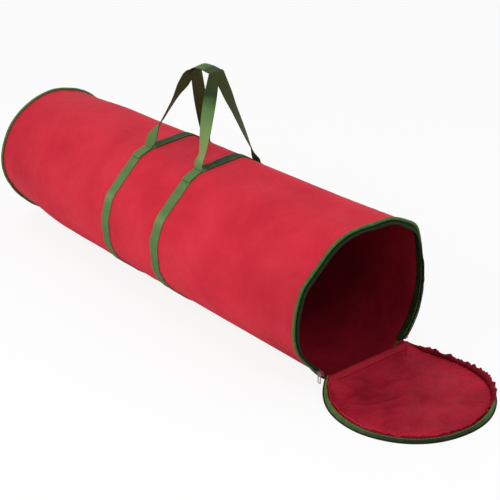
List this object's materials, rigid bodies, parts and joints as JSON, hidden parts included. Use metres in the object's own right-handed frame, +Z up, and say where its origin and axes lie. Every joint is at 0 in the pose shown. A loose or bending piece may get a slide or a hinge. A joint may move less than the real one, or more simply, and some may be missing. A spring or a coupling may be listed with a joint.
{
  "type": "gift wrap organizer",
  "caption": "Long round fabric bag with a zipped fold-down lid, webbing bands and two carrying handles, for storing rolls of gift wrap.",
  "frame": {"origin": "middle of the flat strip of fabric that the bag lies on, halfway along the bag, at floor level", "axes": "+X along the bag's axis towards its open mouth, +Z up, -Y is the side nearer the camera in the picture"},
  "size_m": [1.2941, 0.315, 0.4464],
  "materials": {
    "red_fabric": "non-woven cloth with a soft satin face",
    "lid_fabric": "non-woven cloth, inner face",
    "webbing": "woven polypropylene webbing",
    "binding": "woven binding tape",
    "zip_tape": "knitted zip tape",
    "zip_coil": "nylon coil",
    "slider_metal": "nickel plated"
  },
  "bodies": {
    "bag": {"body_tube": "red_fabric", "rear_panel": "red_fabric", "rear_binding": "binding", "rear_band": "webbing", "front_band": "webbing", "near_handle_rear_end": "webbing", "near_handle_front_end": "webbing", "far_handle_rear_end": "webbing", "far_handle_front_end": "webbing", "mouth_piping": "binding", "mouth_zip_tape": "zip_tape", "mouth_zip_coil": "zip_coil", "zip_near_stop": "slider_metal", "zip_far_stop": "slider_metal", "lid_apron": "lid_fabric"},
    "lid": {"lid_panel": "lid_fabric", "lid_gathered_rim": "red_fabric", "lid_zip_tape": "zip_tape", "lid_zip_coil": "zip_coil"},
    "slider": {"zip_slider": "slider_metal"},
    "pull": {"zip_pull": "slider_metal"},
    "near_loop": {"near_handle": "webbing"},
    "far_loop": {"far_handle": "webbing"}
  },
  "joints": [
    {"name": "lid_fold", "type": "hinge", "parent": "bag", "child": "lid", "pos_m": [0.5264, 0, 0.022], "axis": [0, -1, 0], "range_deg": [0, 94.58]},
    {"name": "slider_run", "type": "hinge", "parent": "bag", "child": "slider", "pos_m": [0.524, 0, 0.1335], "axis": [-1, 0, 0], "range_deg": [0, 263.2]},
    {"name": "pull_swing", "type": "hinge", "parent": "slider", "child": "pull", "pos_m": [0.524, -0.11388, 0.03222], "axis": [1, 0, 0], "range_deg": [-130, 33]},
    {"name": "near_handle_swing", "type": "hinge", "parent": "bag", "child": "near_loop", "pos_m": [0.0265, -0.05293, 0.27881], "axis": [1, 0, 0], "range_deg": [0, 119]},
    {"name": "far_handle_swing", "type": "hinge", "parent": "bag", "child": "far_loop", "pos_m": [0.0265, 0.09202, 0.25779], "axis": [-1, 0, 0], "range_deg": [0, 147]}
  ]
}
